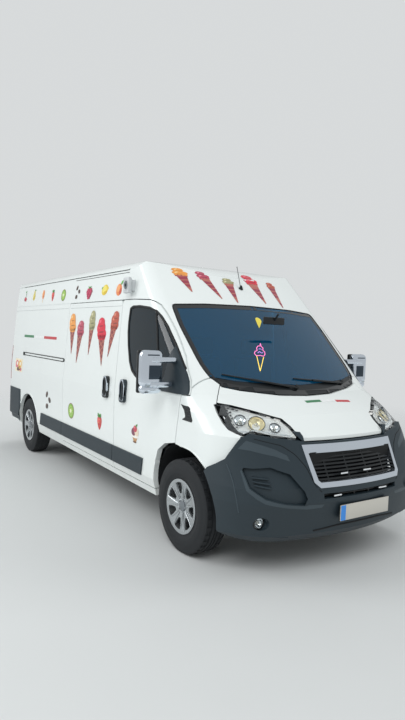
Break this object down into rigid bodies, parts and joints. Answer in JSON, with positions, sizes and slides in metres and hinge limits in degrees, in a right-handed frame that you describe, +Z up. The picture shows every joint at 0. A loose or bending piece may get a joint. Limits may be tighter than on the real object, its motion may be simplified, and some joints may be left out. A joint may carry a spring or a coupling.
{
  "type": "ice cream van",
  "caption": "High-roof panel van fitted out as an ice cream van, with opening doors and bonnet, steered front wheels and a serving cabinet.",
  "frame": {"origin": "on the ground at the middle of the van's length and width", "axes": "+X forwards, +Y to the van's left, +Z up"},
  "size_m": [5.998, 2.584, 2.478],
  "materials": {
    "white_paint": "gloss",
    "grey_plastic": "grained",
    "black_plastic": "satin",
    "chrome": "polished",
    "tinted_glass": "polished",
    "lamp_glass": "clear lens over a reflector",
    "red_lens": "gloss",
    "tyre": "matte",
    "rim_silver": "satin silver",
    "chassis_black": "satin",
    "floor_grey": "satin",
    "cast_metal": "rough",
    "seat_cloth": "woven",
    "plate_white": "reflective sheet",
    "cabinet_steel": "brushed",
    "exhaust_steel": "dull"
  },
  "bodies": {
    "body": {"roof_panel": "white_paint", "body_side_right": "white_paint", "body_side_left": "white_paint", "wing_right": "white_paint", "wing_left": "white_paint", "sliding_door": "white_paint", "roof_gutters": "white_paint", "horn_speaker": "white_paint", "front_bumper": "grey_plastic", "rear_bumper": "grey_plastic", "side_strips": "grey_plastic", "grille_slats": "black_plastic", "cowl_panel": "black_plastic", "wipers": "black_plastic", "dashboard": "black_plastic", "radiator": "black_plastic", "fuel_tank": "black_plastic", "slide_rail": "black_plastic", "grille_frame": "chrome", "windscreen": "tinted_glass", "headlamps": "lamp_glass", "fog_lamps": "lamp_glass", "tail_lamps": "red_lens", "spare_wheel": "tyre", "rear_axle": "chassis_black", "front_subframe": "chassis_black", "floor_pan": "floor_grey", "bulkhead": "floor_grey", "wheel_boxes": "floor_grey", "toe_board": "floor_grey", "engine_block": "cast_metal", "seats": "seat_cloth", "number_plate": "plate_white", "gelato_cabinet": "cabinet_steel", "exhaust": "exhaust_steel"},
    "bonnet": {"bonnet": "white_paint"},
    "front_door_right": {"front_door_right": "white_paint", "door_glass_right": "tinted_glass", "door_strip_right": "grey_plastic", "mirror_base_right": "black_plastic", "mirror_head_right": "chrome"},
    "front_door_left": {"front_door_left": "white_paint", "door_glass_left": "tinted_glass", "door_strip_left": "grey_plastic", "mirror_base_left": "black_plastic", "mirror_head_left": "chrome"},
    "rear_door_right": {"rear_door_right": "white_paint"},
    "rear_door_left": {"rear_door_left": "white_paint"},
    "knuckle_right": {"knuckle_right": "cast_metal"},
    "knuckle_left": {"knuckle_left": "cast_metal"},
    "wheel_front_right": {"tyre_front_right": "tyre", "rim_front_right": "rim_silver"},
    "wheel_front_left": {"tyre_front_left": "tyre", "rim_front_left": "rim_silver"},
    "wheel_rear_right": {"tyre_rear_right": "tyre", "rim_rear_right": "rim_silver"},
    "wheel_rear_left": {"tyre_rear_left": "tyre", "rim_rear_left": "rim_silver"},
    "steering_wheel": {"steering_wheel": "black_plastic"}
  },
  "joints": [
    {"name": "bonnet_hinge", "type": "hinge", "parent": "body", "child": "bonnet", "pos_m": [2.092, 0, 1.34], "axis": [0, -1, 0], "range_deg": [0, 55]},
    {"name": "front_door_right_hinge", "type": "hinge", "parent": "body", "child": "front_door_right", "pos_m": [2.002, -1.0245, 0.9], "axis": [0, 0, 1], "range_deg": [0, 68]},
    {"name": "front_door_left_hinge", "type": "hinge", "parent": "body", "child": "front_door_left", "pos_m": [2.002, 1.0245, 0.9], "axis": [0, 0, -1], "range_deg": [0, 68]},
    {"name": "rear_door_right_hinge", "type": "hinge", "parent": "body", "child": "rear_door_right", "pos_m": [-2.954, -0.787, 1.4], "axis": [0, 0, 1], "range_deg": [0, 95]},
    {"name": "rear_door_left_hinge", "type": "hinge", "parent": "body", "child": "rear_door_left", "pos_m": [-2.954, 0.787, 1.4], "axis": [0, 0, -1], "range_deg": [0, 95]},
    {"name": "steer_right", "type": "hinge", "parent": "body", "child": "knuckle_right", "pos_m": [2.051, -0.86, 0.364], "axis": [0, 0, 1], "range_deg": [-33, 33]},
    {"name": "steer_left", "type": "hinge", "parent": "body", "child": "knuckle_left", "pos_m": [2.051, 0.86, 0.364], "axis": [0, 0, 1], "range_deg": [-33, 33]},
    {"name": "wheel_front_right_spin", "type": "hinge", "parent": "knuckle_right", "child": "wheel_front_right", "pos_m": [2.051, -0.905, 0.364], "axis": [0, 1, 0], "continuous": true},
    {"name": "wheel_front_left_spin", "type": "hinge", "parent": "knuckle_left", "child": "wheel_front_left", "pos_m": [2.051, 0.905, 0.364], "axis": [0, 1, 0], "continuous": true},
    {"name": "wheel_rear_right_spin", "type": "hinge", "parent": "body", "child": "wheel_rear_right", "pos_m": [-1.984, -0.895, 0.364], "axis": [0, 1, 0], "continuous": true},
    {"name": "wheel_rear_left_spin", "type": "hinge", "parent": "body", "child": "wheel_rear_left", "pos_m": [-1.984, 0.895, 0.364], "axis": [0, 1, 0], "continuous": true},
    {"name": "steering_wheel_turn", "type": "hinge", "parent": "body", "child": "steering_wheel", "pos_m": [1.545, 0.47, 1.13], "axis": [-0.7219, 0, 0.6919], "range_deg": [-500, 500]}
  ],
  "couplings": [
    {"joint": "steer_left", "follows": "steer_right", "ratio": 1},
    {"joint": "steering_wheel_turn", "follows": "steer_right", "ratio": 15}
  ]
}
